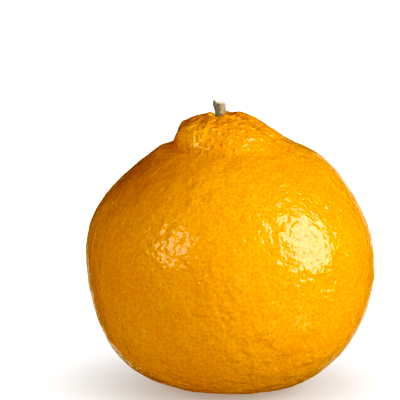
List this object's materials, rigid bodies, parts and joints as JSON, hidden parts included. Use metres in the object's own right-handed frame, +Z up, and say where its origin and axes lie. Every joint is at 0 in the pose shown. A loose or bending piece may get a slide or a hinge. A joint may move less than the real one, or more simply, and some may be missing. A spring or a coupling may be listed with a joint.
{
  "type": "shiranui mandarin",
  "caption": "Whole round mandarin with a raised, puckered neck, a dried calyx in the pit on top and a short cut stalk stub, resting on a small flat spot.",
  "frame": {"origin": "on the flat spot that the fruit rests on, straight under the middle of the fruit", "axes": "+Z up, -Y towards the front of the fruit, and the neck leans a little towards -X"},
  "size_m": [0.09, 0.0898, 0.0905],
  "materials": {
    "rind": "waxy orange citrus peel with fine pores",
    "calyx": "dry, dull olive",
    "stalk": "dry ridged bark with a pale cut end"
  },
  "bodies": {
    "root": {"rind": "rind", "calyx": "calyx", "stalk": "stalk"}
  },
  "joints": []
}
